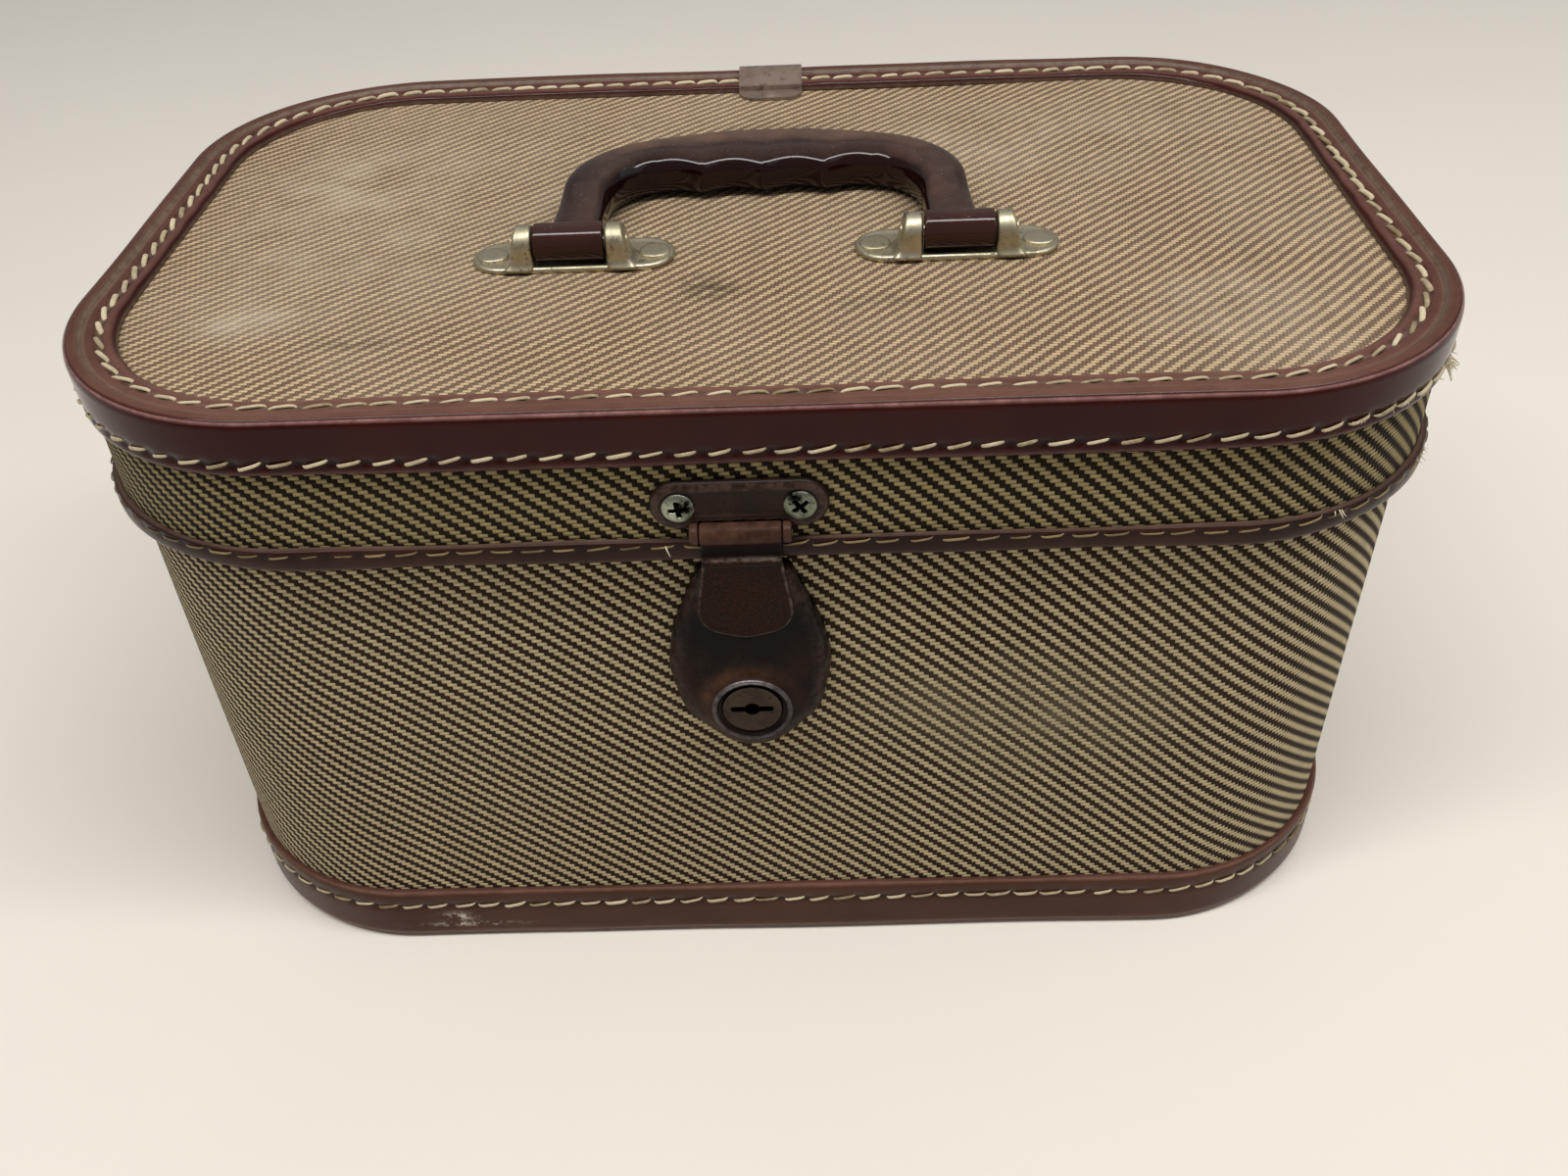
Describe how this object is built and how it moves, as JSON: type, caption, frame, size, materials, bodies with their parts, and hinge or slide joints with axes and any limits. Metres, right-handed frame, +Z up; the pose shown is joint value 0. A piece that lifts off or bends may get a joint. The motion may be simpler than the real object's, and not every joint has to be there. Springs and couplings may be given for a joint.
{
  "type": "vintage suitcase",
  "caption": "Hard-sided train case with rounded corners, twill-covered walls, stitched bindings, hinged lid, folding top handle, drop hasp and key lock.",
  "frame": {"origin": "middle of the underside, on the surface the case stands on", "axes": "+X to the right as seen from the lock side, +Y from the lock side to the hinges, +Z up"},
  "size_m": [0.344, 0.2204, 0.1938],
  "materials": {
    "board": "fibreboard",
    "twill_cloth": "woven two-tone twill, satin",
    "bottom_cloth": "matt bookcloth",
    "lining": "matt lining cloth",
    "binding": "stitched oxblood leathercloth, semi-gloss",
    "handle": "moulded brown phenolic, gloss",
    "nickel": "aged nickel plate",
    "latch_enamel": "brown enamel, worn",
    "lock_steel": "tarnished steel",
    "screw_steel": "tarnished steel",
    "plain_steel": "plated steel"
  },
  "bodies": {
    "base": {"base_wall": "board", "base_bottom_panel": "board", "base_bottom_covering": "bottom_cloth", "base_wall_covering": "twill_cloth", "base_foot_binding": "binding", "base_collar": "lining", "base_lining": "lining", "lock_case": "latch_enamel", "lock_back_plate": "lock_steel", "lock_rivets": "lock_steel", "hinge_lower_leaf_left": "plain_steel", "hinge_lower_leaf_right": "plain_steel", "hinge_lower_rivets": "plain_steel", "hinge_pins": "plain_steel", "stay_base_stud": "plain_steel"},
    "lid": {"lid_wall": "board", "lid_top_panel": "board", "lid_wall_covering": "twill_cloth", "lid_top_covering": "twill_cloth", "lid_edge_binding": "binding", "lid_rim_binding": "binding", "lid_lining": "lining", "binding_clip": "latch_enamel", "clip_rivet": "lock_steel", "hinge_upper_leaf_left": "plain_steel", "hinge_upper_leaf_right": "plain_steel", "hinge_upper_rivets": "plain_steel", "handle_bracket_left": "nickel", "handle_bracket_right": "nickel", "bracket_rivets": "nickel", "handle_pins": "plain_steel", "hasp_plate": "latch_enamel", "hasp_screws": "screw_steel", "hasp_pin": "plain_steel", "stay_lid_stud": "plain_steel"},
    "handle": {"handle_grip": "handle"},
    "hasp": {"hasp_tongue": "latch_enamel"},
    "plug": {"lock_plug": "lock_steel"},
    "bolt": {"lock_bolt": "lock_steel"},
    "stay": {"stay_arm": "plain_steel"}
  },
  "joints": [
    {"name": "lid_hinge", "type": "hinge", "parent": "base", "child": "lid", "pos_m": [0, 0.1085, 0.143], "axis": [-1, 0, 0], "range_deg": [0, 95]},
    {"name": "handle_fold", "type": "hinge", "parent": "lid", "child": "handle", "pos_m": [0.0018, -0.0273, 0.1876], "axis": [1, 0, 0], "range_deg": [0, 180]},
    {"name": "hasp_swing", "type": "hinge", "parent": "lid", "child": "hasp", "pos_m": [-0.0042, -0.1069, 0.1516], "axis": [-1, 0, 0], "range_deg": [0, 110]},
    {"name": "lock_turn", "type": "hinge", "parent": "base", "child": "plug", "pos_m": [-0.0042, -0.1064, 0.0968], "axis": [0, 1, 0], "range_deg": [0, 90]},
    {"name": "bolt_slide", "type": "slide", "parent": "base", "child": "bolt", "axis": [1, 0, 0], "range_m": [0, 0.00636]},
    {"name": "stay_swing", "type": "hinge", "parent": "lid", "child": "stay", "pos_m": [0, 0.02358, 0.163], "axis": [-1, 0, 0], "range_deg": [-47.5, 0]}
  ],
  "couplings": [
    {"joint": "bolt_slide", "follows": "lock_turn", "m_per_rad": 0.0040514},
    {"joint": "stay_swing", "follows": "lid_hinge", "ratio": -0.5}
  ]
}
